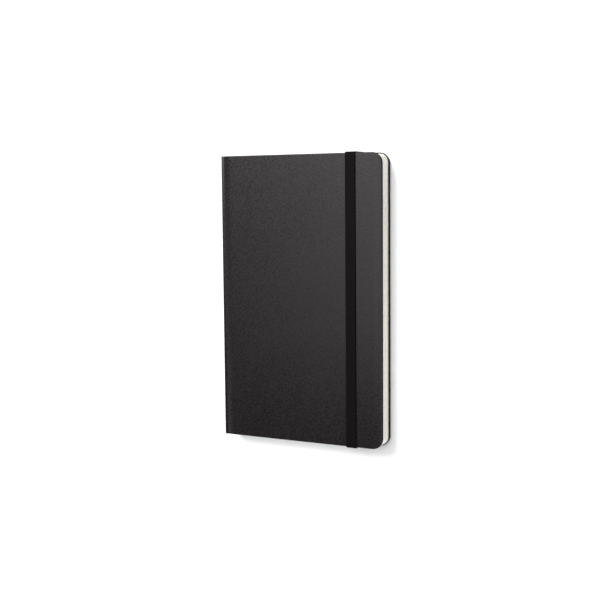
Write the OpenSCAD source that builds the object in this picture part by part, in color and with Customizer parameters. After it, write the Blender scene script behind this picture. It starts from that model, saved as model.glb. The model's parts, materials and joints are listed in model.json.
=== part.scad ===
// Hard-cover notebook held shut by an elastic band, lying closed on its back cover.
// X runs from the spine to the fore-edge, Y from the tail to the head, Z up from the table.
// The origin is the middle of the closed book's underside.

/* [Cover] */
// Width of the cover, spine face to fore-edge
cover_w = 131; // [100:1:170]
// Height of the cover, tail to head
cover_h = 210; // [160:1:260]
// Thickness of the closed book over both covers, without the band
book_t = 15; // [12:0.5:22]
// Radius of the two fore-edge corners of each cover
corner_r = 8; // [4:0.5:14]
// Thickness of the grey board inside each cover
board_t = 1.4; // [1:0.1:2]
// Thickness of the covering cloth
cloth_t = 0.25; // [0.2:0.05:0.35]
// Width of the cloth turned in over the inside of a cover
turn_in_w = 12; // [8:1:18]
// From the spine face to the inner edge of a cover's board, where the cloth flexes
joint_gap = 2.6; // [2.2:0.1:5]
// Height left bare at each outer spine corner, where the cloth bends
corner_gap = 1.1; // [0.8:0.1:1.5]

/* [Pages] */
// Sewn sections in the block
section_count = 12; // [8:1:16]
// How far the pages stop short of the cover's edges
page_square = 1; // [0.5:0.1:3]
// Radius of the pages' two fore-edge corners
page_corner_r = 6; // [3:0.5:12]
// Air between neighbouring sections
section_gap = 0.08; // [0.05:0.01:0.12]
// Thickness of an endpaper, pasted down or loose
endpaper_t = 0.15; // [0.1:0.05:0.2]
// From the spine face to the sections' folds
fold_x = 3.7; // [3.5:0.1:5]
// Air between the two covers and what lies between them
block_clear = 0.1; // [0.05:0.05:0.3]

/* [Spine lining] */
// Thickness of the gauze lining behind the folds
lining_t = 0.2; // [0.1:0.05:0.25]
// Air between the spine board and the lining
hollow_gap = 0.15; // [0.1:0.05:0.25]
// How far the lining stops short of head and tail
lining_short = 14; // [5:1:30]
// Radius of the sewing thread
thread_r = 0.2; // [0.15:0.05:0.25]
// Sewing stations along the spine
thread_count = 6; // [4:1:9]
// From the end of the lining to the first sewing station
thread_inset = 6; // [3:1:15]

/* [Pocket] */
// Thickness of the pocket's card
card_t = 0.25; // [0.2:0.05:0.35]
// From the spine face to the pocket's mouth
pocket_setback = 14; // [12:1:30]
// Board left bare round the pocket's other sides
pocket_margin = 4; // [3:0.5:8]
// Width of the cloth gusset at the head and tail of the pocket
gusset_w = 14; // [8:1:20]
// Thickness of the folded gusset
gusset_t = 0.25; // [0.2:0.05:0.35]
// Air over and under the folded gusset
gusset_gap = 0.05; // [0.03:0.01:0.08]

/* [Elastic band] */
// Width of the band
band_w = 8; // [5:0.1:12]
// Thickness of the band
band_t = 0.8; // [0.5:0.05:0.9]
// From the fore-edge to the middle of the band
band_from_edge = 24.2; // [18:0.1:40]
// From the head or tail edge to the slot that the band goes through
slot_from_edge = 9; // [6:0.5:15]
// Length of each band end that is glued inside the back cover
band_tab = 14; // [8:1:20]
// Air between the band and the covers
band_clear = 0.05; // [0.03:0.01:0.1]

/* [Hidden] */
function section_name(i) = str("section_", i < 9 ? "0" : "", i + 1);

$fn = 64;
// Overshoot of a cut past the face that it goes through
cut = 1;

spine_x = -cover_w / 2;
fore_x = cover_w / 2;
head_y = cover_h / 2;
cover_t = board_t + 2 * cloth_t;

// Heights inside the closed book, from the back cover up
pastedown_top = cover_t + endpaper_t;
pocket_back_top = pastedown_top + card_t;
gusset_z = pocket_back_top + gusset_gap;
panel_z = gusset_z + gusset_t + gusset_gap;
flyleaf_z = panel_z + card_t + block_clear;
block_z = flyleaf_z + endpaper_t + section_gap;
front_flyleaf_z = book_t - cover_t - endpaper_t - block_clear - endpaper_t;
section_pitch = (front_flyleaf_z - block_z) / section_count;
section_t = section_pitch - section_gap;

pocket_x = spine_x + pocket_setback;
pocket_w = cover_w - pocket_setback - pocket_margin;
pocket_y = head_y - pocket_margin;
lining_x = spine_x + cover_t + hollow_gap;
thread_x = lining_x + lining_t + thread_r;
band_x = fore_x - band_from_edge;
slot_y = head_y - slot_from_edge;
groove_t = band_t + band_clear;

cloth_colour = "#2b2a2b";
board_colour = "#8f8a80";
paper_colour = "#ece7d8";
card_colour = "#e4dcc6";
band_colour = "#1b1a1b";

// Outline with square corners on the spine side and round ones on the fore-edge side
module cover_outline(x0, inset, r) {
    x1 = fore_x - inset;
    y1 = head_y - inset;
    union() {
        translate([x0, -y1]) square([x1 - r - x0, 2 * y1]);
        translate([x1 - r - cut, -y1 + r]) square([r + cut, 2 * (y1 - r)]);
        for (s = [-1, 1]) translate([x1 - r, s * (y1 - r)]) circle(r);
    }
}

module sheet(x0, inset, r, z0, t) {
    translate([0, 0, z0]) linear_extrude(t) cover_outline(x0, inset, r);
}

module leaf(x0, z0, t) {
    color(paper_colour) sheet(x0, page_square, page_corner_r, z0, t);
}

// The inner face of a board, raised between the turned-in cloth
module raised_middle() {
    x0 = spine_x + joint_gap;
    translate([x0, -head_y + turn_in_w, cloth_t + board_t])
        cube([fore_x - turn_in_w - x0, 2 * (head_y - turn_in_w), cloth_t]);
}

module cover_board() {
    union() {
        sheet(spine_x + joint_gap, cloth_t, corner_r - cloth_t, cloth_t, board_t);
        raised_middle();
    }
}

module cover_cloth() {
    difference() {
        sheet(spine_x + corner_gap, 0, corner_r, 0, cover_t);
        sheet(spine_x + joint_gap, cloth_t, corner_r - cloth_t, cloth_t, board_t);
        translate([spine_x, -head_y - cut, cloth_t]) cube([joint_gap, cover_h + 2 * cut, cover_t]);
        raised_middle();
    }
}

// Groove, slot and recess that the band's two ends lie in
module band_cuts() {
    for (s = [0, 1]) mirror([0, s, 0]) translate([band_x - band_w / 2 - band_clear, 0, 0]) {
        width = band_w + 2 * band_clear;
        translate([0, slot_y, -cut]) cube([width, slot_from_edge + cut, cut + groove_t]);
        translate([0, slot_y, -cut]) cube([width, band_t + band_clear, cover_t + 2 * cut]);
        translate([0, slot_y - band_tab - band_clear, cover_t - groove_t])
            cube([width, band_tab + band_t + 2 * band_clear, groove_t + cut]);
    }
}

module upside_down() {
    translate([0, 0, book_t]) mirror([0, 0, 1]) children();
}

module back_board() {
    color(board_colour) difference() {
        cover_board();
        band_cuts();
    }
}

module back_cover_cloth() {
    color(cloth_colour) difference() {
        cover_cloth();
        band_cuts();
    }
}

module front_board() {
    color(board_colour) upside_down() cover_board();
}

module front_cover_cloth() {
    color(cloth_colour) upside_down() cover_cloth();
}

module back_pastedown() {
    leaf(spine_x + joint_gap, cover_t, endpaper_t);
}

module front_pastedown() {
    upside_down() back_pastedown();
}

module back_flyleaf() {
    leaf(spine_x + fold_x, flyleaf_z, endpaper_t);
}

module front_flyleaf() {
    leaf(spine_x + fold_x, front_flyleaf_z, endpaper_t);
}

module section(i) {
    leaf(spine_x + fold_x, block_z + i * section_pitch, section_t);
}

module pocket_back() {
    color(card_colour) translate([pocket_x, -pocket_y, pastedown_top]) cube([pocket_w, 2 * pocket_y, card_t]);
}

module pocket_panel() {
    color(card_colour) translate([pocket_x, -pocket_y, panel_z]) cube([pocket_w, 2 * pocket_y, card_t]);
}

module pocket_gussets() {
    color(cloth_colour) for (s = [0, 1]) mirror([0, s, 0])
        translate([pocket_x, pocket_y - gusset_w, gusset_z]) cube([pocket_w, gusset_w, gusset_t]);
}

module spine_board() {
    color(board_colour) translate([spine_x + cloth_t, -head_y + cloth_t, corner_gap])
        cube([board_t, cover_h - 2 * cloth_t, book_t - 2 * corner_gap]);
}

module spine_cloth() {
    height = book_t - 2 * corner_gap;
    color(cloth_colour) difference() {
        translate([spine_x, -head_y, corner_gap]) cube([cover_t, cover_h, height]);
        translate([spine_x + cloth_t, -head_y + cloth_t, corner_gap - cut])
            cube([board_t, cover_h - 2 * cloth_t, height + 2 * cut]);
        translate([spine_x + cloth_t, -head_y + turn_in_w, corner_gap - cut])
            cube([cover_t, cover_h - 2 * turn_in_w, height + 2 * cut]);
    }
}

module spine_lining() {
    color(card_colour) translate([lining_x, -head_y + lining_short, block_z])
        cube([lining_t, cover_h - 2 * lining_short, section_count * section_pitch - section_gap]);
}

// One run of thread at each sewing station, across the folds of all the sections
module sewing_thread() {
    reach = head_y - lining_short - thread_inset;
    color("white") for (i = [0 : thread_count - 1])
        translate([thread_x, -reach + 2 * reach * i / (thread_count - 1), block_z])
            cylinder(r = thread_r, h = section_count * section_pitch - section_gap, $fn = 24);
}

// The stretch of the band that comes off: over the front and down past head and tail
module elastic_band() {
    inner_y = head_y + band_clear;
    color(band_colour) difference() {
        translate([band_x - band_w / 2, -inner_y - band_t, band_clear])
            cube([band_w, 2 * (inner_y + band_t), book_t + band_t]);
        translate([band_x - band_w / 2 - cut, -inner_y, -cut])
            cube([band_w + 2 * cut, 2 * inner_y, book_t + band_clear + cut]);
    }
}

// The band's two fixed ends: along the groove, up through the slot and glued inside the back cover
module band_ends() {
    color(band_colour) for (s = [0, 1]) mirror([0, s, 0]) translate([band_x - band_w / 2, 0, 0]) {
        translate([0, slot_y, band_clear / 2]) cube([band_w, slot_from_edge, band_t]);
        translate([0, slot_y, band_clear / 2]) cube([band_w, band_t, cover_t - band_clear]);
        translate([0, slot_y - band_tab, cover_t - band_clear / 2 - band_t])
            cube([band_w, band_tab + band_t, band_t]);
    }
}

back_board();
back_cover_cloth();
back_pastedown();
pocket_back();
band_ends();
pocket_gussets();
pocket_panel();
spine_board();
spine_cloth();
spine_lining();
sewing_thread();
front_board();
front_cover_cloth();
front_pastedown();
front_flyleaf();
back_flyleaf();
elastic_band();
for (i = [0 : section_count - 1]) section(i);
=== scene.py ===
"""Hard-cover notebook with an elastic band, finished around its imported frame.

Every piece is drawn in metres in the frame's own axes: X from the spine to the fore-edge,
Y from the tail to the head, Z up from the table that the closed book lies on.
"""
import json
import math

import bmesh
import bpy
from mathutils import Euler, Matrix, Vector


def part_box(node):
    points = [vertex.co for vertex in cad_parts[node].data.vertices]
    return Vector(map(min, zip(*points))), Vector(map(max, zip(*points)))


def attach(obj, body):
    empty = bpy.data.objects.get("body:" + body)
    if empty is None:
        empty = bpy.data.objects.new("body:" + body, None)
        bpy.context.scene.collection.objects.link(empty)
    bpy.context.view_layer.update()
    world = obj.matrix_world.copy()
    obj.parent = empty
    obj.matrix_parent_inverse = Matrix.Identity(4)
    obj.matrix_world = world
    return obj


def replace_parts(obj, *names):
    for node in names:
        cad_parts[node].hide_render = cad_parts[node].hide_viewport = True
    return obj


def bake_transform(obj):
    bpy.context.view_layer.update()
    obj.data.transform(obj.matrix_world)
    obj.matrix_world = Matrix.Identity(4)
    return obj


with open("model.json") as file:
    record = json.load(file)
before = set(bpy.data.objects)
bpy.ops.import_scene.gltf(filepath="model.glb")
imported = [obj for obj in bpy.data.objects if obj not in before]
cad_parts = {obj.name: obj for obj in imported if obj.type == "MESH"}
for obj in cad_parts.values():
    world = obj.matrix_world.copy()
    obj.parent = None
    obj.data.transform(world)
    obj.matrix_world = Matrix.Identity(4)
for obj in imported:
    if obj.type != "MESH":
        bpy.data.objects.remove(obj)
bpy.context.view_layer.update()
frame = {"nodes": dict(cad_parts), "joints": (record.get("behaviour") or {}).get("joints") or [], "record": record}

bl_info = {
    "name": "Hard-cover Notebook",
    "version": (1, 0, 0),
    "blender": (4, 5, 0),
    "location": "3D View > Sidebar > Notebook",
    "description": "Builds the covers, pages, pocket, sewing and band of a hard-cover notebook",
    "category": "Object",
}

MM = 0.001

# Places that the frame gives, in metres
COVER_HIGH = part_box("back_cover_cloth")[1]
FRONT_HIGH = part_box("front_cover_cloth")[1]
SPINE_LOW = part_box("spine_cloth")[0]
BOARD_LOW, BOARD_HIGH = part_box("back_board")
PASTE_LOW, PASTE_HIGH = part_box("back_pastedown")
BAND_LOW, BAND_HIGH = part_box("elastic_band")
ENDS_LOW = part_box("band_ends")[0]
GUSSET_LOW, GUSSET_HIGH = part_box("pocket_gussets")
THREAD_LOW, THREAD_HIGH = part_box("sewing_thread")

SPINE_X = SPINE_LOW.x
FORE_X = COVER_HIGH.x
HEAD_Y = COVER_HIGH.y
BOOK_T = FRONT_HIGH.z
COVER_T = COVER_HIGH.z
JOINT_X = BOARD_LOW.x
CORNER_GAP = SPINE_LOW.z
CLOTH_T = COVER_HIGH.y - BOARD_HIGH.y
JOINTS = {joint["name"]: joint for joint in frame["joints"]}
BACK_FOLD = Vector(JOINTS["spine_hinge"]["pos_m"])
CORNER_R = 8 * MM
PAGE_CORNER_R = 6 * MM
TURN_IN = 12 * MM
SLOT_FROM_EDGE = 9 * MM
ARC_STEPS = 12
ROUND_STEPS = 6
BEND_STEPS = 16

# How strongly the white surroundings light the book; the camera sees them at full strength
SKY_LIGHT = 0.32
OVERHEAD = {"place": (-0.03, 0.51, 1.8), "aim": (-0.03, 0.51, 0), "size": 1.8, "power": 29}
PAGE_FILL = {"place": (1.2, -1.0, 0.3), "aim": (0, 0, 0), "size": 1.0, "power": 13.5}
WINDOW = {"place": (-0.62, 0.85, 1.0), "strength": 3.5, "spread": 36}

SECTIONS = sorted(name for name in frame["nodes"] if name.startswith("section_"))
BODY_OF = {
    node: body
    for body, nodes in frame["record"]["behaviour"]["bodies"].items()
    for node in nodes
}


# ---------------------------------------------------------------- shader expressions


class Val:
    """A node socket that can be used in arithmetic."""

    def __init__(self, tree, socket):
        self.tree = tree
        self.socket = socket

    def math(self, operation, *others):
        return node(self.tree, "ShaderNodeMath", {"operation": operation}, [self, *others])

    def __add__(self, other):
        return self.math("ADD", other)

    def __sub__(self, other):
        return self.math("SUBTRACT", other)

    def __mul__(self, other):
        return self.math("MULTIPLY", other)

    def __truediv__(self, other):
        return self.math("DIVIDE", other)

    def __rsub__(self, other):
        return node(self.tree, "ShaderNodeMath", {"operation": "SUBTRACT"}, [other, self])

    __radd__ = __add__
    __rmul__ = __mul__

    def step(self, low, high):
        """0 under low and 1 over high, smooth between."""
        settings = {"interpolation_type": "SMOOTHSTEP"}
        return node(self.tree, "ShaderNodeMapRange", settings,
                    {"Value": self, "From Min": low, "From Max": high})

    def part(self, letter):
        """One of a vector's three parts."""
        return node(self.tree, "ShaderNodeSeparateXYZ", {}, [self], letter)

    def scaled(self, *factors):
        """A vector stretched along its three axes."""
        return node(self.tree, "ShaderNodeVectorMath", {"operation": "MULTIPLY"}, [self, factors])


def node(tree, kind, settings, values, output=0):
    """Adds a node, sets it up, then fills its sockets from a list, or from names."""
    made = tree.nodes.new(kind)
    for key, value in settings.items():
        setattr(made, key, value)
    pairs = values.items() if isinstance(values, dict) else enumerate(values)
    for key, value in pairs:
        socket = made.inputs[key]
        if isinstance(value, Val):
            tree.links.new(value.socket, socket)
        else:
            socket.default_value = value
    return Val(tree, made.outputs[output])


def mixed(tree, factor, first, second):
    """A colour that goes from first to second as factor goes from 0 to 1."""
    made = tree.nodes.new("ShaderNodeMix")
    made.data_type = "RGBA"
    # Sockets 6 and 7 are the node's two colours, and output 2 is the mixed one
    for number, value in ((0, factor), (6, first), (7, second)):
        socket = made.inputs[number]
        if isinstance(value, Val):
            tree.links.new(value.socket, socket)
        else:
            socket.default_value = value
    return Val(tree, made.outputs[2])


def noise(tree, place, scale, detail=3.0, roughness=0.5):
    """Cloudy noise with about scale lumps to the metre."""
    return node(tree, "ShaderNodeTexNoise", {},
                {"Vector": place, "Scale": scale, "Detail": detail, "Roughness": roughness})


def cells(tree, place, scale):
    """Rounded cells, scale of them to the metre: 0 in a cell's middle, rising to its edge."""
    return node(tree, "ShaderNodeTexVoronoi", {"feature": "F1"},
                {"Vector": place, "Scale": scale}, "Distance")


def rest_place(tree):
    """Where a point of the piece lies in the closed book, kept in an attribute as the piece bends."""
    return node(tree, "ShaderNodeAttribute", {"attribute_name": "rest_place"}, {}, "Vector")


def object_place(tree):
    return node(tree, "ShaderNodeTexCoord", {}, {}, "Object")


def finish_material(name, look, place=rest_place, **constants):
    """A material whose colour, roughness and bump come from look(tree, place)."""
    finish = bpy.data.materials.new(name)
    finish.use_nodes = True
    tree = finish.node_tree
    tree.nodes.clear()
    surface = tree.nodes.new("ShaderNodeBsdfPrincipled")
    output = tree.nodes.new("ShaderNodeOutputMaterial")
    tree.links.new(surface.outputs[0], output.inputs[0])
    for key, value in constants.items():
        surface.inputs[key.replace("_", " ")].default_value = value
    colour, rough, height, strength, distance = look(tree, place(tree))
    tree.links.new(colour.socket, surface.inputs["Base Color"])
    tree.links.new(rough.socket, surface.inputs["Roughness"])
    bump = node(tree, "ShaderNodeBump", {},
                {"Height": height, "Strength": strength, "Distance": distance})
    tree.links.new(bump.socket, surface.inputs["Normal"])
    return finish


def rgba(colour):
    return (*colour[:3], 1.0)


# ---------------------------------------------------------------- materials


def dull_side_painted_shade(place):
    """1 on the cloth's side face where it turns over a board's edge, 0 elsewhere: there it is made dull and
    darkened as painted shade.
    """
    height, across = place.part("Z"), place.part("X")
    depth = height.math("MINIMUM", BOOK_T - height)
    past_face = depth.step(0.1 * MM, 0.4 * MM)
    past_side = depth.step(COVER_T - 0.2 * MM, COVER_T - 0.1 * MM)
    on_side = past_face * (1 - past_side)
    return on_side * across.step(JOINT_X, JOINT_X + 2 * MM)


def covering_cloth(settings):
    """Black coated book cloth with a fine pebble grain."""
    def look(tree, place):
        grain = 1.0 / settings.grain_size
        pebble = cells(tree, place, grain)
        crease = cells(tree, place, grain * 0.45)
        fine = noise(tree, place, grain * 2.1, 2.0)
        mottle = noise(tree, place, 950.0, 2.0)
        cloud = noise(tree, place, 42.0, 3.0)
        drift = noise(tree, place, 9.0, 1.0)
        tone = (cloud * 0.2 + drift * 0.15 + mottle * 0.65).step(0.32, 0.68)
        dark = mixed(tree, tone, rgba(settings.cloth_colour), rgba(settings.cloth_light))
        # The grain's hollows between the pebbles are mixed towards a fixed dark grey: painted shade in the grain.
        colour = mixed(tree, pebble.step(0.25, 0.75) * 0.4, dark, (0.002, 0.002, 0.002, 1))
        rough = 0.19 + mottle.step(0.3, 0.7) * 0.18 + pebble * 0.06
        # The cover's side faces are made rough and darkened here: painted shade.
        edge = dull_side_painted_shade(place)
        colour = mixed(tree, edge * 0.7, colour, (0.0008, 0.0006, 0.0006, 1))
        rough = rough + edge * (0.95 - rough)
        height = (1 - pebble) * 0.4 + (1 - crease) * 0.25 + fine * 0.1 + mottle * 0.25
        return colour, rough, height, 0.8, settings.grain_depth
    return finish_material("covering_cloth", look, Specular_IOR_Level=0.28,
                           Specular_Tint=(1.0, 0.94, 0.97, 1.0))


def woven_elastic(settings):
    """Black ribbed elastic: ribs along it, fine cross threads between."""
    def look(tree, place):
        path = node(tree, "ShaderNodeAttribute", {"attribute_name": "band_place"}, {}, "Vector")
        across = path.part("X") * settings.rib_count * math.tau
        along = path.part("Y") * math.tau / settings.cross_pitch
        rib = across.math("COSINE") * 0.5 + 0.5
        cross = along.math("SINE") * 0.5 + 0.5
        fuzz = noise(tree, place, 5200.0, 2.0)
        # The band's two long edges are darkened: painted shade on its side walls and under them.
        painted_edge_shade = (path.part("X") - 0.5).math("ABSOLUTE").step(0.435, 0.455)
        # Darker in the grooves between the ribs: painted shade, mixed with random fuzz tone.
        colour = mixed(tree, rib * 0.6 + fuzz * 0.4,
                       (0.0012, 0.0009, 0.0008, 1), rgba(settings.band_colour))
        colour = mixed(tree, painted_edge_shade, colour, (0.0008, 0.0006, 0.0006, 1))
        rough = 0.48 + fuzz * 0.2
        height = rib * 0.45 + cross * 0.35 + fuzz * 0.2
        return colour, rough, height, 0.6, 0.00008
    return finish_material("woven_elastic", look, Sheen_Weight=0.005, Sheen_Roughness=0.4,
                           Specular_IOR_Level=0.05)


def ruled_paper(settings, name, ruled):
    """Ivory writing paper, with pale printed squares where it is ruled."""
    def look(tree, place):
        fibre = noise(tree, place, 2600.0, 4.0)
        cloud = noise(tree, place, 60.0, 2.0)
        # Noise stripes across the height, darkened towards grey-brown: painted shade in the gaps between the
        # leaves.
        leaf = noise(tree, place.scaled(20.0, 20.0, 16000.0), 1.0, 2.0)
        paper = mixed(tree, fibre * 0.5 + cloud * 0.5,
                      rgba(settings.paper_colour), rgba(settings.paper_light))
        paper = mixed(tree, leaf.step(0.42, 0.62) * 0.16, paper, (0.36, 0.34, 0.29, 1))
        if ruled:
            ink = None
            for letter in "XY":
                turn = (place.part(letter) / settings.ruling_pitch).math("FRACT")
                off = (turn - 0.5).math("ABSOLUTE")
                half = 0.5 - settings.line_width / settings.ruling_pitch
                line = off.step(half - 0.006, half + 0.006)
                ink = line if ink is None else ink.math("MAXIMUM", line)
            paper = mixed(tree, ink * 0.45, paper, rgba(settings.line_colour))
        rough = 0.78 + fibre * 0.12
        return paper, rough, fibre, 0.15, 0.00002
    return finish_material(name, look, Specular_IOR_Level=0.25)


def grey_board():
    """Pressed grey board with a soft fibre speckle."""
    def look(tree, place):
        fleck = noise(tree, place, 900.0, 5.0)
        layer = noise(tree, place.scaled(30.0, 30.0, 4000.0), 1.0, 2.0)
        colour = mixed(tree, fleck.step(0.35, 0.7) * 0.6 + layer * 0.4,
                       (0.21, 0.19, 0.165, 1), (0.36, 0.335, 0.30, 1))
        return colour, 0.85 + fleck * 0.1, fleck, 0.3, 0.00006
    return finish_material("grey_board", look, object_place, Specular_IOR_Level=0.2)


def pocket_card():
    """Smooth ivory card with a faint tooth."""
    def look(tree, place):
        tooth = noise(tree, place, 1800.0, 4.0)
        cloud = noise(tree, place, 35.0, 2.0)
        colour = mixed(tree, tooth * 0.4 + cloud * 0.6, (0.74, 0.69, 0.57, 1), (0.84, 0.80, 0.68, 1))
        return colour, 0.62 + tooth * 0.16, tooth, 0.2, 0.00003
    return finish_material("pocket_card", look, Specular_IOR_Level=0.3)


def plain_weave(name, pitch, dark, light, place=rest_place):
    """A plain woven cloth of the given thread pitch."""
    def look(tree, where):
        warp = (where.part("X") * math.pi / pitch).math("SINE").math("ABSOLUTE")
        weft = (where.part("Y") * math.pi / pitch).math("SINE").math("ABSOLUTE")
        fuzz = noise(tree, where, 4200.0, 2.0)
        weave = warp.math("MULTIPLY", weft)
        # Darker between the threads, where the weave is low: painted shade, mixed with random fuzz tone.
        colour = mixed(tree, weave * 0.7 + fuzz * 0.3, dark, light)
        return colour, 0.8 + fuzz * 0.15, weave, 0.5, 0.00006
    return finish_material(name, look, place, Sheen_Weight=0.08, Specular_IOR_Level=0.2)


def waxed_thread():
    """Off-white linen thread with a tight twist."""
    def look(tree, place):
        lay = (place.part("Z") + place.part("Y") * 0.7) * math.tau / (0.35 * MM)
        twist = lay.math("SINE") * 0.5 + 0.5
        # Darker in the grooves of the twist: painted shade.
        colour = mixed(tree, twist, (0.62, 0.58, 0.50, 1), (0.85, 0.82, 0.75, 1))
        return colour, 0.5 + twist * 0.2, twist, 0.5, 0.00003
    return finish_material("waxed_thread", look, Specular_IOR_Level=0.35)


def floor_paper(settings):
    """The pale sheet that the book lies on."""
    def look(tree, place):
        grain = noise(tree, place, 300.0, 3.0)
        low = tuple(c * 0.985 for c in settings.floor_colour)
        colour = mixed(tree, grain, rgba(low), rgba(settings.floor_colour))
        return colour, 0.9 + grain * 0.05, grain, 0.05, 0.00002
    return finish_material("floor_paper", look, object_place, Specular_IOR_Level=0.1)


def material(name, maker, *arguments):
    """The material of that name, made the first time it is asked for."""
    return bpy.data.materials.get(name) or maker(*arguments)


# ---------------------------------------------------------------- mesh helpers


def new_piece(name, points, faces, surface, smooth=()):
    """A mesh object at the origin. Faces whose numbers are in smooth are shaded smooth."""
    mesh = bpy.data.meshes.new(name)
    mesh.from_pydata(points, [], faces)
    chosen = set(smooth)
    mesh.polygons.foreach_set("use_smooth", [i in chosen for i in range(len(mesh.polygons))])
    piece = bpy.data.objects.new(name, mesh)
    bpy.context.scene.collection.objects.link(piece)
    mesh.materials.append(surface)
    point_outwards(piece)
    keep_rest_place(piece)
    return piece


def point_outwards(piece):
    edit = bmesh.new()
    edit.from_mesh(piece.data)
    bmesh.ops.recalc_face_normals(edit, faces=edit.faces)
    edit.to_mesh(piece.data)
    edit.free()


def keep_rest_place(piece):
    """Stores each vertex's place in the closed book, for patterns that follow the surface."""
    mesh = piece.data
    places = mesh.attributes.get("rest_place")
    if not places:
        places = mesh.attributes.new("rest_place", "FLOAT_VECTOR", "POINT")
    flat = [0.0] * (3 * len(mesh.vertices))
    mesh.vertices.foreach_get("co", flat)
    places.data.foreach_set("vector", flat)


class Shell:
    """Collects the points and faces of a piece that is made of several closed forms."""

    def __init__(self):
        self.points = []
        self.faces = []
        self.smooth = []

    def add_face(self, face, smooth):
        if smooth:
            self.smooth.append(len(self.faces))
        self.faces.append(face)

    def tube(self, loops, smooth=True):
        """A closed form through loops of equal length, capped at both ends."""
        start, count = len(self.points), len(loops[0])
        for loop in loops:
            self.points.extend(loop)
        for k in range(len(loops) - 1):
            for i in range(count):
                j = (i + 1) % count
                a, b = start + k * count, start + (k + 1) * count
                self.add_face((a + i, a + j, b + j, b + i), smooth)
        self.add_face(tuple(start + i for i in reversed(range(count))), False)
        last = start + (len(loops) - 1) * count
        self.add_face(tuple(last + i for i in range(count)), False)

    def plate(self, x0, profile, corner, x1=FORE_X, y1=HEAD_Y):
        """A sheet with a straight spine side at x0 and two round corners at the fore-edge.

        profile goes from the middle of one face round the edge to the other, as (inset, z)."""
        rings = [edge_line(x0, x1 - inset, y1 - inset, corner - inset, z) for inset, z in profile]
        start, count = len(self.points), len(rings[0])
        for ring in rings:
            self.points.extend(ring)
        for k in range(len(rings) - 1):
            for i in range(count - 1):
                a, b = start + k * count + i, start + (k + 1) * count + i
                self.add_face((a, a + 1, b + 1, b), True)
        last = start + (len(rings) - 1) * count
        self.add_face(tuple(start + i for i in range(count)), False)
        self.add_face(tuple(last + i for i in reversed(range(count))), False)
        spine_side = [start + k * count for k in range(len(rings))]
        spine_side += [start + k * count + count - 1 for k in reversed(range(len(rings)))]
        self.add_face(tuple(spine_side), False)

    def piece(self, name, surface):
        return new_piece(name, self.points, self.faces, surface, self.smooth)


def edge_line(x0, x1, y1, radius, z):
    """From the spine side at the tail, round the fore-edge, to the spine side at the head."""
    line = [(x0, -y1, z)]
    for k in range(ARC_STEPS + 1):
        turn = math.pi / 2 * k / ARC_STEPS
        line.append((x1 - radius + radius * math.sin(turn),
                     -y1 + radius - radius * math.cos(turn), z))
    line += [(x, -y, z) for x, y, z in reversed(line)]
    return line


def quarter(radius, z, up):
    """A rounded edge as (inset, z), from the flat face at z to the full outline."""
    turns = [math.pi / 2 * k / ROUND_STEPS for k in range(ROUND_STEPS + 1)]
    return [(radius * (1 - math.sin(t)), z - up * radius * (1 - math.cos(t))) for t in turns]


def rounded_profile(z_low, z_high, low_round, high_round):
    """Edge of a sheet with its upper and lower edges rounded."""
    top = quarter(high_round, z_high, 1)
    bottom = quarter(low_round, z_low, -1)
    return top + list(reversed(bottom))


def flipped(shell, upside_down):
    """Turns a form made for the back cover over, to lie on the front."""
    if upside_down:
        shell.points = [(x, y, BOOK_T - z) for x, y, z in shell.points]
    return shell


# ---------------------------------------------------------------- covers and spine


def cover_skin(name, upside_down, settings):
    """Cloth of one cover, with the strip that bends round the spine's corner."""
    shell = Shell()
    profile = rounded_profile(0.0, COVER_T, settings.edge_round, settings.inner_round)
    shell.plate(JOINT_X, profile, CORNER_R)
    shell.tube(corner_loops(BACK_FOLD, settings))
    cloth = material("covering_cloth", covering_cloth, settings)
    skin = flipped(shell, upside_down).piece(name, cloth)
    press_joint(skin, BOOK_T if upside_down else 0.0, settings)
    return skin


def press_joint(skin, face_z, settings):
    """Presses a shallow trough beside the spine into the outer face at face_z."""
    low, high = SPINE_X + 1.6 * MM, SPINE_X + settings.joint_press_w
    cuts, off_edge = 12, 0.02 * MM
    inward = 1 if face_z == 0 else -1
    edit = bmesh.new()
    edit.from_mesh(skin.data)
    for k in range(cuts + 1):
        x = JOINT_X + off_edge + (high - JOINT_X) * k / cuts
        bmesh.ops.bisect_plane(edit, geom=[*edit.verts, *edit.edges, *edit.faces],
                               plane_co=(x, 0, 0), plane_no=(1, 0, 0))
    for vert in edit.verts:
        if abs(vert.co.z - face_z) < 0.01 * MM and low < vert.co.x < high:
            share = (vert.co.x - low) / (high - low)
            vert.co.z += inward * settings.joint_press * math.sin(math.pi * share ** 0.7) ** 2
    for face in edit.faces:
        face.smooth = True
    edit.to_mesh(skin.data)
    edit.free()
    skin.data.set_sharp_from_angle(angle=math.radians(40))
    keep_rest_place(skin)


def corner_loops(fold, settings):
    """Loops along the cloth from the spine's face, round the corner, to the board's edge."""
    skin = settings.hinge_cloth
    ease = skin * 0.5
    outer_r = fold.x - SPINE_X
    steps = 10
    stops = [(SPINE_X, CORNER_GAP + settings.hinge_overlap, 1.0, 0.0)]
    for k in range(steps + 1):
        turn = math.pi / 2 * k / steps
        stops.append((fold.x - outer_r * math.cos(turn), fold.z - outer_r * math.sin(turn),
                      math.cos(turn), math.sin(turn)))
    stops.append((JOINT_X, 0.0, 0.0, 1.0))
    loops = []
    for x, z, in_x, in_z in stops:
        def at(y, depth):
            return (x + in_x * depth, y, z + in_z * depth)
        loops.append([at(-HEAD_Y, skin), at(-HEAD_Y, ease),
                      at(-HEAD_Y + ease * 0.3, ease * 0.3), at(-HEAD_Y + ease, 0.0),
                      at(HEAD_Y - ease, 0.0), at(HEAD_Y - ease * 0.3, ease * 0.3),
                      at(HEAD_Y, ease), at(HEAD_Y, skin)])
    return loops


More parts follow.
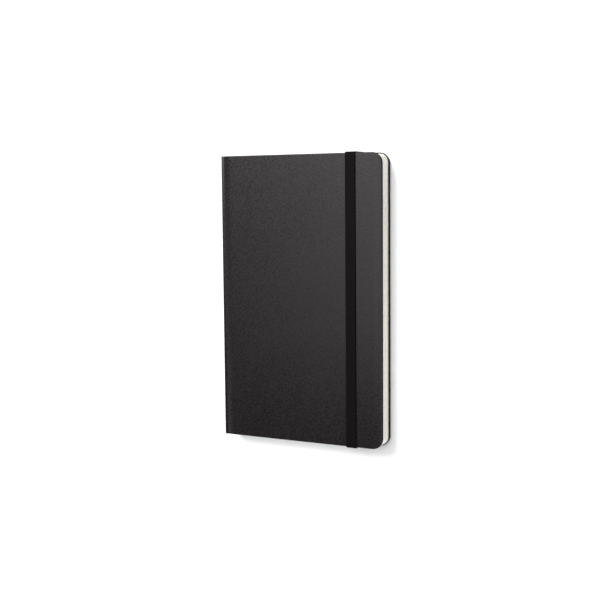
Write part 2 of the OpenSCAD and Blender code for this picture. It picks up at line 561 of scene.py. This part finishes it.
def spine_skin(settings):
    """Cloth over the spine board, turned in at head and tail."""
    radius = settings.edge_round
    y, x = HEAD_Y, SPINE_X
    turns = [math.pi / 2 * k / ROUND_STEPS for k in range(ROUND_STEPS + 1)]
    upper = [(x + radius - radius * math.cos(t), y - radius + radius * math.sin(t)) for t in turns]
    upper += [(x + COVER_T - radius + radius * math.sin(t), y - radius + radius * math.cos(t))
              for t in turns]
    upper += [(x + COVER_T, y - TURN_IN), (x + COVER_T - CLOTH_T, y - TURN_IN),
              (x + COVER_T - CLOTH_T, y - CLOTH_T), (x + CLOTH_T, y - CLOTH_T)]
    outline = upper + [(px, -py) for px, py in reversed(upper)]
    low = CORNER_GAP + settings.hinge_overlap
    high = BOOK_T - low
    shell = Shell()
    shell.tube([[(px, py, z) for px, py in outline] for z in (low, high)], smooth=False)
    piece = shell.piece("spine_skin", material("covering_cloth", covering_cloth, settings))
    smooth_by_angle(piece, 25)
    return piece


def smooth_by_angle(piece, degrees):
    mesh = piece.data
    mesh.polygons.foreach_set("use_smooth", [True] * len(mesh.polygons))
    mesh.set_sharp_from_angle(angle=math.radians(degrees))


def pastedown(name, upside_down, settings):
    shell = Shell()
    profile = rounded_profile(PASTE_LOW.z, PASTE_HIGH.z, 0.03 * MM, 0.05 * MM)
    shell.plate(JOINT_X, profile, PAGE_CORNER_R, PASTE_HIGH.x, PASTE_HIGH.y)
    paper = material("endpaper", ruled_paper, settings, "endpaper", False)
    return flipped(shell, upside_down).piece(name, paper)


# ---------------------------------------------------------------- pages


def leaf_columns(x0, x1, y1, bend_end):
    """Stations along a leaf as (x, half height), close together where it bends and at the corners."""
    radius = PAGE_CORNER_R
    stations = [(x0 + (bend_end - x0) * k / BEND_STEPS, y1) for k in range(BEND_STEPS)]
    stations += [(bend_end, y1), ((bend_end + x1 - radius) / 2, y1)]
    for k in range(ARC_STEPS + 1):
        turn = math.pi / 2 * k / ARC_STEPS
        stations.append((x1 - radius + radius * math.sin(turn),
                         y1 - radius + radius * math.cos(turn)))
    return stations


def leaf_shell(low, high, thickness, bend_end):
    """One leaf lying at its lowest height."""
    shell = Shell()
    loops = []
    top = low.z + thickness
    for x, y in leaf_columns(low.x, high.x, high.y, bend_end):
        loops.append([(x, -y, low.z), (x, y, low.z), (x, y, top), (x, -y, top)])
    shell.tube(loops)
    return shell


def stack_tree():
    """Node tree that repeats the piece it is on upwards, each copy a hair out of line."""
    tree = bpy.data.node_groups.get("leaf_stack")
    if tree:
        return tree
    tree = bpy.data.node_groups.new("leaf_stack", "GeometryNodeTree")
    face = tree.interface
    face.new_socket("Leaf", in_out="INPUT", socket_type="NodeSocketGeometry")
    face.new_socket("Leaves", in_out="INPUT", socket_type="NodeSocketInt")
    face.new_socket("Rise", in_out="INPUT", socket_type="NodeSocketFloat")
    face.new_socket("Stray", in_out="INPUT", socket_type="NodeSocketFloat")
    face.new_socket("Seed", in_out="INPUT", socket_type="NodeSocketInt")
    face.new_socket("Material", in_out="INPUT", socket_type="NodeSocketMaterial")
    face.new_socket("Stack", in_out="OUTPUT", socket_type="NodeSocketGeometry")
    given = tree.nodes.new("NodeGroupInput").outputs
    rise = tree.nodes.new("ShaderNodeCombineXYZ")
    line = tree.nodes.new("GeometryNodeMeshLine")
    placed = tree.nodes.new("GeometryNodeInstanceOnPoints")
    stray = tree.nodes.new("ShaderNodeCombineXYZ")
    random_x = tree.nodes.new("FunctionNodeRandomValue")
    random_y = tree.nodes.new("FunctionNodeRandomValue")
    inward = tree.nodes.new("ShaderNodeMath")
    moved = tree.nodes.new("GeometryNodeTranslateInstances")
    real = tree.nodes.new("GeometryNodeRealizeInstances")
    painted = tree.nodes.new("GeometryNodeSetMaterial")
    result = tree.nodes.new("NodeGroupOutput")
    inward.operation = "MULTIPLY"
    inward.inputs[1].default_value = -1.0
    join = tree.links.new
    join(given["Rise"], rise.inputs["Z"])
    join(given["Leaves"], line.inputs["Count"])
    join(rise.outputs[0], line.inputs["Offset"])
    join(line.outputs[0], placed.inputs["Points"])
    join(given["Leaf"], placed.inputs["Instance"])
    join(given["Stray"], inward.inputs[0])
    for random, axis in ((random_x, "X"), (random_y, "Y")):
        random.data_type = "FLOAT"
        join(inward.outputs[0], random.inputs[2])
        join(given["Seed"], random.inputs["Seed"])
        join(random.outputs[1], stray.inputs[axis])
    random_x.inputs[3].default_value = 0.0
    join(given["Stray"], random_y.inputs[3])
    join(placed.outputs[0], moved.inputs["Instances"])
    join(stray.outputs[0], moved.inputs["Translation"])
    join(moved.outputs[0], real.inputs[0])
    join(real.outputs[0], painted.inputs["Geometry"])
    join(given["Material"], painted.inputs["Material"])
    join(painted.outputs[0], result.inputs[0])
    return tree


def grown(piece, tree, **values):
    """Runs a node tree on a piece and leaves the result as a plain mesh."""
    modifier = piece.modifiers.new("grow", "NODES")
    modifier.node_group = tree
    sockets = {s.name: s.identifier for s in tree.interface.items_tree if s.item_type == "SOCKET"}
    for name, value in values.items():
        modifier[sockets[name]] = value
    bpy.context.view_layer.update()
    ready = piece.evaluated_get(bpy.context.evaluated_depsgraph_get())
    mesh = bpy.data.meshes.new_from_object(ready)
    piece.modifiers.clear()
    old = piece.data
    piece.data = mesh
    bpy.data.meshes.remove(old)
    mesh.name = piece.name
    keep_rest_place(piece)
    return piece


def build_section(name, number, settings):
    """One sewn section as a stack of leaves in the section's box."""
    low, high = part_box(name)
    count = settings.leaves_per_section
    pitch = (high.z - low.z) / count
    bend = settings.bend_length if BODY_OF[name] == "front_cover" else settings.lean_length
    paper = material("ruled_paper", ruled_paper, settings, "ruled_paper", True)
    shell = leaf_shell(low, high, pitch * settings.leaf_share, low.x + bend)
    leaf = shell.piece(name + "_leaves", paper)
    smooth_by_angle(leaf, 40)
    grown(leaf, stack_tree(), Leaves=count, Rise=pitch, Stray=settings.leaf_stray, Seed=number,
          Material=paper)
    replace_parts(leaf, name)
    low.x + bend
    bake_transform(leaf)
    return leaf


def build_flyleaf(name, body, settings):
    """One flyleaf as a flat leaf, its stations close together from its fold on the spine over the bend length."""
    low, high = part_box(name)
    bend = settings.bend_length if body == "front_cover" else settings.flyleaf_bend
    paper = material("endpaper", ruled_paper, settings, "endpaper", False)
    leaf = leaf_shell(low, high, high.z - low.z, low.x + bend).piece(name + "_leaf", paper)
    smooth_by_angle(leaf, 40)
    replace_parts(leaf, name)
    low.x + bend
    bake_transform(leaf)
    return leaf


# ---------------------------------------------------------------- pocket


def card_sheet(name, low, high):
    """A card with softened edges and small round corners at its mouth."""
    radius, edge = 3 * MM, 0.04 * MM
    shell = Shell()
    rings = []
    for inset, z in rounded_profile(low.z, high.z, edge, edge):
        ring = []
        for sx, sy, first in ((1, -1, -90), (1, 1, 0), (-1, 1, 90), (-1, -1, 180)):
            cx = (high.x if sx > 0 else low.x) - sx * radius
            cy = (high.y if sy > 0 else low.y) - sy * radius
            for k in range(ROUND_STEPS + 1):
                turn = math.radians(first + 90 * k / ROUND_STEPS)
                ring.append((cx + (radius - inset) * math.cos(turn),
                             cy + (radius - inset) * math.sin(turn), z))
        rings.append(ring)
    shell.tube(rings)
    return shell.piece(name, material("pocket_card", pocket_card))


def gusset(name, side):
    """One bellows fold of cloth: out from the back card, in to its crease and out again."""
    cloth_t, depth, steps, columns = 0.05 * MM, 14 * MM, 6, 12
    low, high = GUSSET_LOW.z + 0.01 * MM, GUSSET_HIGH.z - 0.01 * MM
    outer = GUSSET_HIGH.y
    middle = (low + high) / 2
    half_cloth = cloth_t / 2
    path = [(outer - depth * k / steps, low + (middle - half_cloth - low) * k / steps)
            for k in range(steps)]
    path += [(outer - depth, middle)]
    path += [(outer - depth * k / steps, high - (high - middle - half_cloth) * k / steps)
             for k in reversed(range(steps))]

    def other_face(y, z):
        """The same place on the cloth's inner face; at the crease it also lies further out."""
        return y + (cloth_t if z == middle else 0.0), z + (-cloth_t if z > middle else cloth_t)

    width = GUSSET_HIGH.x - GUSSET_LOW.x
    loops = []
    for c in range(columns + 1):
        x = GUSSET_LOW.x + width * c / columns
        near = [(x, side * y, z) for y, z in path]
        far = [(x, side * y, z) for y, z in (other_face(*place) for place in reversed(path))]
        loops.append(near + far)
    shell = Shell()
    shell.tube(loops, smooth=False)
    weave = material("gusset_cloth", plain_weave, "gusset_cloth", 0.35 * MM,
                     (0.012, 0.012, 0.012, 1), (0.05, 0.048, 0.047, 1))
    piece = shell.piece(name, weave)
    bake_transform(piece)
    return piece


# ---------------------------------------------------------------- band and sewing


def band_path():
    """Middle line of the band as (y, z): glued tab, slot, groove, over the head and half the front."""
    half = (BAND_HIGH.z - BOOK_T) / 2
    tab, low_bend, high_bend, side_steps = 13 * MM, 0.6 * MM, 0.8 * MM, 14
    inside_y = HEAD_Y - SLOT_FROM_EDGE
    low_z = ENDS_LOW.z + half
    high_z = BOOK_T + half
    out_y = BAND_HIGH.y - half
    path = [(inside_y - tab, COVER_T - half), (inside_y - low_bend, COVER_T - half)]
    path += [(inside_y + half, COVER_T - 1.0 * MM), (inside_y + half + 0.7 * MM, low_z)]
    path += [(out_y - 2.0 * MM, low_z)]
    path += arc(out_y - low_bend, low_z + low_bend, low_bend, -90, 0, 5)
    rise = high_z - low_z - low_bend - high_bend
    path += [(out_y, low_z + low_bend + rise * k / side_steps) for k in range(1, side_steps)]
    path += arc(out_y - high_bend, high_z - high_bend, high_bend, 0, 90, ROUND_STEPS)
    path += [(out_y - 3 * MM, high_z), (0.0, high_z)]
    return path


def arc(y, z, radius, first, last, steps):
    """Points of an arc about (y, z), its first and last turn in degrees."""
    turns = [math.radians(first + (last - first) * k / steps) for k in range(steps + 1)]
    return [(y + radius * math.cos(t), z + radius * math.sin(t)) for t in turns]


def build_band(settings):
    """The whole band in one piece, its ribs cut into its outer face."""
    half_path = band_path()
    path = half_path + [(-y, z) for y, z in reversed(half_path[:-1])]
    middle_x = (BAND_LOW.x + BAND_HIGH.x) / 2
    half_w = (BAND_HIGH.x - BAND_LOW.x) / 2
    half_t = (BAND_HIGH.z - BOOK_T) / 2 - 0.02 * MM
    per_rib = 4
    count = settings.rib_count * per_rib
    section = []
    for k in range(count + 1):
        share = k / count
        rib = 0.5 - 0.5 * math.cos(math.tau * k / per_rib)
        edge = min(share, 1 - share) * count / per_rib
        drop = settings.rib_depth * (1 - rib) + (0.25 * MM if edge == 0 else 0)
        section.append((share, half_t - drop))
    section += [(1.0, -half_t), (0.0, -half_t)]
    shell = Shell()
    loops, places = [], []
    run = 0.0
    for i, (y, z) in enumerate(path):
        before, after = path[max(i - 1, 0)], path[min(i + 1, len(path) - 1)]
        dy, dz = after[0] - before[0], after[1] - before[1]
        length = math.hypot(dy, dz)
        out_y, out_z = dz / length, -dy / length
        if i:
            run += math.hypot(y - path[i - 1][0], z - path[i - 1][1])
        loops.append([(middle_x + (2 * share - 1) * half_w, y + out_y * depth, z + out_z * depth)
                      for share, depth in section])
        places += [(share, run, 0.0) for share, _ in section]
    shell.tube(loops)
    surface = material("woven_elastic", woven_elastic, settings)
    piece = shell.piece("elastic_band_loop", surface)
    smooth_by_angle(piece, 75)
    held = piece.data.attributes.new("band_place", "FLOAT_VECTOR", "POINT")
    held.data.foreach_set("vector", [part for place in places for part in place])
    return piece


def stitch_tree():
    """Node tree that sets the piece it is on at each point of a grid in the YZ plane."""
    tree = bpy.data.node_groups.new("stitch_grid", "GeometryNodeTree")
    face = tree.interface
    face.new_socket("Stitch", in_out="INPUT", socket_type="NodeSocketGeometry")
    face.new_socket("Stations", in_out="INPUT", socket_type="NodeSocketInt")
    face.new_socket("Station Gap", in_out="INPUT", socket_type="NodeSocketFloat")
    face.new_socket("Folds", in_out="INPUT", socket_type="NodeSocketInt")
    face.new_socket("Fold Gap", in_out="INPUT", socket_type="NodeSocketFloat")
    face.new_socket("Material", in_out="INPUT", socket_type="NodeSocketMaterial")
    face.new_socket("Stitches", in_out="OUTPUT", socket_type="NodeSocketGeometry")
    given = tree.nodes.new("NodeGroupInput").outputs
    join = tree.links.new
    shape = given["Stitch"]
    for count, gap, axis in (("Folds", "Fold Gap", "Z"), ("Stations", "Station Gap", "Y")):
        offset = tree.nodes.new("ShaderNodeCombineXYZ")
        line = tree.nodes.new("GeometryNodeMeshLine")
        placed = tree.nodes.new("GeometryNodeInstanceOnPoints")
        real = tree.nodes.new("GeometryNodeRealizeInstances")
        join(given[gap], offset.inputs[axis])
        join(given[count], line.inputs["Count"])
        join(offset.outputs[0], line.inputs["Offset"])
        join(line.outputs[0], placed.inputs["Points"])
        join(shape, placed.inputs["Instance"])
        join(placed.outputs[0], real.inputs[0])
        shape = real.outputs[0]
    painted = tree.nodes.new("GeometryNodeSetMaterial")
    result = tree.nodes.new("NodeGroupOutput")
    join(shape, painted.inputs["Geometry"])
    join(given["Material"], painted.inputs["Material"])
    join(painted.outputs[0], result.inputs[0])
    return tree


def build_stitches(settings):
    """A slack stitch of thread over every fold at every sewing station."""
    x = (THREAD_LOW.x + THREAD_HIGH.x) / 2
    radius = (THREAD_HIGH.x - THREAD_LOW.x) / 2
    fold_gap = (THREAD_HIGH.z - THREAD_LOW.z) / len(SECTIONS)
    station_gap = (THREAD_HIGH.y - THREAD_LOW.y - 2 * radius) / (settings.stations - 1)
    y0 = THREAD_LOW.y + radius
    sides, steps = 8, 8
    turns = [math.tau * i / sides for i in range(sides)]
    loops = []
    for k in range(steps + 1):
        rise = k / steps
        swell = radius * (0.55 + 0.45 * math.sin(math.pi * rise))
        lean = 0.25 * MM * (rise - 0.5)
        z = THREAD_LOW.z + fold_gap * rise * 0.98
        loops.append([(x + swell * math.cos(t), y0 + lean + swell * math.sin(t), z) for t in turns])
    shell = Shell()
    shell.tube(loops)
    thread = material("waxed_thread", waxed_thread)
    piece = shell.piece("sewing_stitches", thread)
    grown(piece, stitch_tree(), Stations=settings.stations, Folds=len(SECTIONS), Material=thread,
          **{"Station Gap": station_gap, "Fold Gap": fold_gap})
    return piece


# ---------------------------------------------------------------- settings


def measure(name, description, millimetres):
    """A setting that holds a length."""
    return bpy.props.FloatProperty(name=name, description=description, default=millimetres * MM,
                                   subtype="DISTANCE", unit="LENGTH", precision=5)


def tint(name, description, default):
    """A setting that holds a colour."""
    return bpy.props.FloatVectorProperty(name=name, description=description, default=default,
                                         subtype="COLOR", size=3, min=0, max=1)


class NotebookCover(bpy.types.PropertyGroup):
    edge_round: measure("Edge rounding", "Radius of a cover's outer edges", 0.55)
    inner_round: measure("Inner rounding", "Radius of a cover's inner edges", 0.35)
    hinge_cloth: measure("Hinge cloth", "Thickness of the cloth where the cover folds", 0.4)
    hinge_overlap: measure("Hinge overlap", "How far the folding cloth reaches onto the spine", 0.3)
    joint_press: measure("Joint depth", "Depth of the trough beside the spine", 0.05)
    joint_press_w: measure("Joint width", "From the spine to where the trough ends", 9)
    grain_size: measure("Grain size", "Width of one pebble of the cloth's grain", 0.42)
    grain_depth: measure("Grain depth", "Depth of the cloth's grain", 0.09)
    cloth_colour: tint("Cloth", "Colour of the covering cloth", (0.0010, 0.0006, 0.0008))
    cloth_light: tint("Cloth, worn", "Colour of the cloth where it is lighter", (0.0074, 0.0056, 0.0062))


class NotebookPages(bpy.types.PropertyGroup):
    leaves_per_section: bpy.props.IntProperty(
        name="Leaves", description="Leaves in a section", default=10)
    leaf_share: bpy.props.FloatProperty(
        name="Leaf share", description="Share of a leaf's space that is paper", default=0.86)
    leaf_stray: measure("Leaf stray", "How far a leaf lies out of line", 0.05)
    bend_length: measure("Bend", "From the fold to where an open leaf lies flat", 13)
    lean_length: measure("Lean", "From the fold to where a leaning section is straight", 26)
    flyleaf_bend: measure("Flyleaf bend", "From the fold to where the standing flyleaf is straight", 10)
    ruling_pitch: measure("Squares", "Side of a printed square", 5)
    line_width: measure("Line", "Half the width of a printed line", 0.09)
    paper_colour: tint("Paper", "Colour of the paper", (0.79, 0.775, 0.72))
    paper_light: tint("Paper, light", "Colour of the paper's lighter fibres", (0.85, 0.835, 0.78))
    line_colour: tint("Ruling", "Colour of the printed lines", (0.46, 0.47, 0.47))


class NotebookBand(bpy.types.PropertyGroup):
    rib_count: bpy.props.IntProperty(name="Ribs", description="Ribs across the band", default=9)
    rib_depth: measure("Rib depth", "Depth of the grooves between the ribs", 0.12)
    cross_pitch: measure("Cross threads", "Distance between the band's cross threads", 0.55)
    band_colour: tint("Band", "Colour of the elastic", (0.0040, 0.0026, 0.0023))


class NotebookSewing(bpy.types.PropertyGroup):
    stations: bpy.props.IntProperty(
        name="Stations", description="Sewing stations along the spine", default=6)


class NotebookStage(bpy.types.PropertyGroup):
    floor_size: measure("Floor", "Side of the square floor", 60000)
    floor_colour: tint("Floor colour", "Colour of the floor", (0.83, 0.835, 0.845))
    camera_place: bpy.props.FloatVectorProperty(
        name="Camera", description="Place of the camera",
        default=(0.37695, 0.0734, 0.72005), subtype="TRANSLATION", size=3)
    camera_turn: bpy.props.FloatVectorProperty(
        name="Camera turn", description="Turn of the camera",
        default=[math.radians(a) for a in (-5.79, 27.80, -0.56)], subtype="EULER", size=3)
    camera_lens: bpy.props.FloatProperty(
        name="Lens", description="Focal length in millimetres", default=65.14)


GROUPS = {
    "notebook_cover": NotebookCover,
    "notebook_pages": NotebookPages,
    "notebook_band": NotebookBand,
    "notebook_sewing": NotebookSewing,
    "notebook_stage": NotebookStage,
}


# ---------------------------------------------------------------- operators


class NOTEBOOK_OT_covers(bpy.types.Operator):
    """Builds the cloth of both covers, with the strips that fold at the spine"""
    bl_idname = "notebook.covers"
    bl_label = "Covers"

    def execute(self, context):
        settings = context.scene.notebook_cover
        front = cover_skin("front_cover_skin", True, settings)
        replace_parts(front, "front_cover_cloth")
        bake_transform(front)
        back = cover_skin("back_cover_skin", False, settings)
        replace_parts(back, "back_cover_cloth")
        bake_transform(back)
        return {"FINISHED"}


class NOTEBOOK_OT_spine(bpy.types.Operator):
    """Builds the spine's cloth and gives the boards and the lining their finish"""
    bl_idname = "notebook.spine"
    bl_label = "Spine and boards"

    def execute(self, context):
        skin = spine_skin(context.scene.notebook_cover)
        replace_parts(skin, "spine_cloth")
        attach(skin, "spine")
        board = material("grey_board", grey_board)
        gauze = material("lining_gauze", plain_weave, "lining_gauze", 0.9 * MM, (0.45, 0.43, 0.38, 1),
                         (0.80, 0.78, 0.72, 1), object_place)
        for name, surface in (("back_board", board), ("front_board", board), ("spine_board", board),
                              ("spine_lining", gauze)):
            frame["nodes"][name].data.materials.clear()
            frame["nodes"][name].data.materials.append(surface)
        return {"FINISHED"}


class NOTEBOOK_OT_endpapers(bpy.types.Operator):
    """Builds the pastedowns and the two flyleaves"""
    bl_idname = "notebook.endpapers"
    bl_label = "Endpapers"

    def execute(self, context):
        settings = context.scene.notebook_pages
        for side, upside_down in (("front", True), ("back", False)):
            sheet = pastedown(side + "_pastedown_sheet", upside_down, settings)
            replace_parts(sheet, side + "_pastedown")
            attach(sheet, side + "_cover")
        build_flyleaf("front_flyleaf", "front_cover", settings)
        build_flyleaf("back_flyleaf", BODY_OF["back_flyleaf"], settings)
        return {"FINISHED"}


class NOTEBOOK_OT_sections(bpy.types.Operator):
    """Builds every sewn section as a stack of leaves"""
    bl_idname = "notebook.sections"
    bl_label = "Sections"

    def execute(self, context):
        for number, name in enumerate(SECTIONS):
            build_section(name, number, context.scene.notebook_pages)
        return {"FINISHED"}


class NOTEBOOK_OT_pocket(bpy.types.Operator):
    """Builds the pocket's two cards and its cloth gussets"""
    bl_idname = "notebook.pocket"
    bl_label = "Pocket"

    def execute(self, context):
        for name, body in (("pocket_back", "back_cover"), ("pocket_panel", "pocket")):
            card = card_sheet(name + "_card", *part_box(name))
            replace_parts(card, name)
            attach(card, body)
        for name, side in (("head_gusset", 1), ("tail_gusset", -1)):
            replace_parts(gusset(name, side), "pocket_gussets")
        return {"FINISHED"}


class NOTEBOOK_OT_band(bpy.types.Operator):
    """Builds the elastic band, anchored in the back cover"""
    bl_idname = "notebook.band"
    bl_label = "Elastic band"

    def execute(self, context):
        band = build_band(context.scene.notebook_band)
        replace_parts(band, "elastic_band", "band_ends")
        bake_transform(band)
        return {"FINISHED"}


class NOTEBOOK_OT_sewing(bpy.types.Operator):
    """Builds the stitches that hold the sections together"""
    bl_idname = "notebook.sewing"
    bl_label = "Sewing"

    def execute(self, context):
        thread = build_stitches(context.scene.notebook_sewing)
        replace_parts(thread, "sewing_thread")
        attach(thread, "spine")
        return {"FINISHED"}


class NOTEBOOK_OT_stage(bpy.types.Operator):
    """Lays the floor and sets the camera and the lights"""
    bl_idname = "notebook.stage"
    bl_label = "Stage"

    def execute(self, context):
        settings = context.scene.notebook_stage
        half = settings.floor_size / 2
        corners = [(-half, -half, 0), (half, -half, 0), (half, half, 0), (-half, half, 0)]
        sheet = material("floor_paper", floor_paper, settings)
        floor = new_piece("floor", corners, [(0, 1, 2, 3)], sheet)
        camera = bpy.data.objects.new("camera", bpy.data.cameras.new("camera"))
        camera.data.lens = settings.camera_lens
        camera.data.sensor_width = 36
        camera.location = settings.camera_place
        camera.rotation_euler = Euler(settings.camera_turn)
        context.scene.collection.objects.link(camera)
        context.scene.camera = camera
        area_light("overhead", **OVERHEAD)
        area_light("page_fill", **PAGE_FILL)
        sun_light("window", **WINDOW)
        world = bpy.data.worlds.new("studio")
        world.use_nodes = True
        background = world.node_tree.nodes["Background"]
        background.inputs[0].default_value = (1, 1, 1, 1)
        seen = node(world.node_tree, "ShaderNodeLightPath", {}, {}, "Is Camera Ray")
        strength = seen * (1 - SKY_LIGHT) + SKY_LIGHT
        world.node_tree.links.new(strength.socket, background.inputs[1])
        context.scene.world = world
        context.scene.view_settings.view_transform = "Standard"
        return {"FINISHED"}


def area_light(name, place, aim, size, power):
    light = bpy.data.lights.new(name, "AREA")
    light.shape = "SQUARE"
    light.size = size
    light.energy = power
    hang_light(light, place, aim)


def sun_light(name, place, strength, spread):
    light = bpy.data.lights.new(name, "SUN")
    light.energy = strength
    light.angle = math.radians(spread)
    hang_light(light, place, (0, 0, 0))


def hang_light(light, place, aim):
    lamp = bpy.data.objects.new(light.name, light)
    lamp.location = place
    lamp.rotation_euler = (Vector(aim) - Vector(place)).to_track_quat("-Z", "Y").to_euler()
    bpy.context.scene.collection.objects.link(lamp)


OPERATORS = (NOTEBOOK_OT_stage, NOTEBOOK_OT_covers, NOTEBOOK_OT_spine, NOTEBOOK_OT_endpapers,
             NOTEBOOK_OT_sections, NOTEBOOK_OT_pocket, NOTEBOOK_OT_sewing, NOTEBOOK_OT_band)


class NOTEBOOK_PT_build(bpy.types.Panel):
    """Lists the notebook's build steps and settings"""
    bl_label = "Notebook"
    bl_idname = "NOTEBOOK_PT_build"
    bl_space_type = "VIEW_3D"
    bl_region_type = "UI"
    bl_category = "Notebook"

    def draw(self, context):
        for operator in OPERATORS:
            self.layout.operator(operator.bl_idname)
        for name, group in GROUPS.items():
            box = self.layout.box()
            for setting in group.__annotations__:
                box.prop(getattr(context.scene, name), setting)


CLASSES = (*GROUPS.values(), *OPERATORS, NOTEBOOK_PT_build)


def register():
    for kind in CLASSES:
        bpy.utils.register_class(kind)
    for name, group in GROUPS.items():
        setattr(bpy.types.Scene, name, bpy.props.PointerProperty(type=group))


def unregister():
    for name in GROUPS:
        delattr(bpy.types.Scene, name)
    for kind in reversed(CLASSES):
        bpy.utils.unregister_class(kind)


def main():
    register()
    bpy.ops.notebook.stage()
    bpy.ops.notebook.covers()
    bpy.ops.notebook.spine()
    bpy.ops.notebook.endpapers()
    bpy.ops.notebook.sections()
    bpy.ops.notebook.pocket()
    bpy.ops.notebook.sewing()
    bpy.ops.notebook.band()


if __name__ == "__main__":
    main()
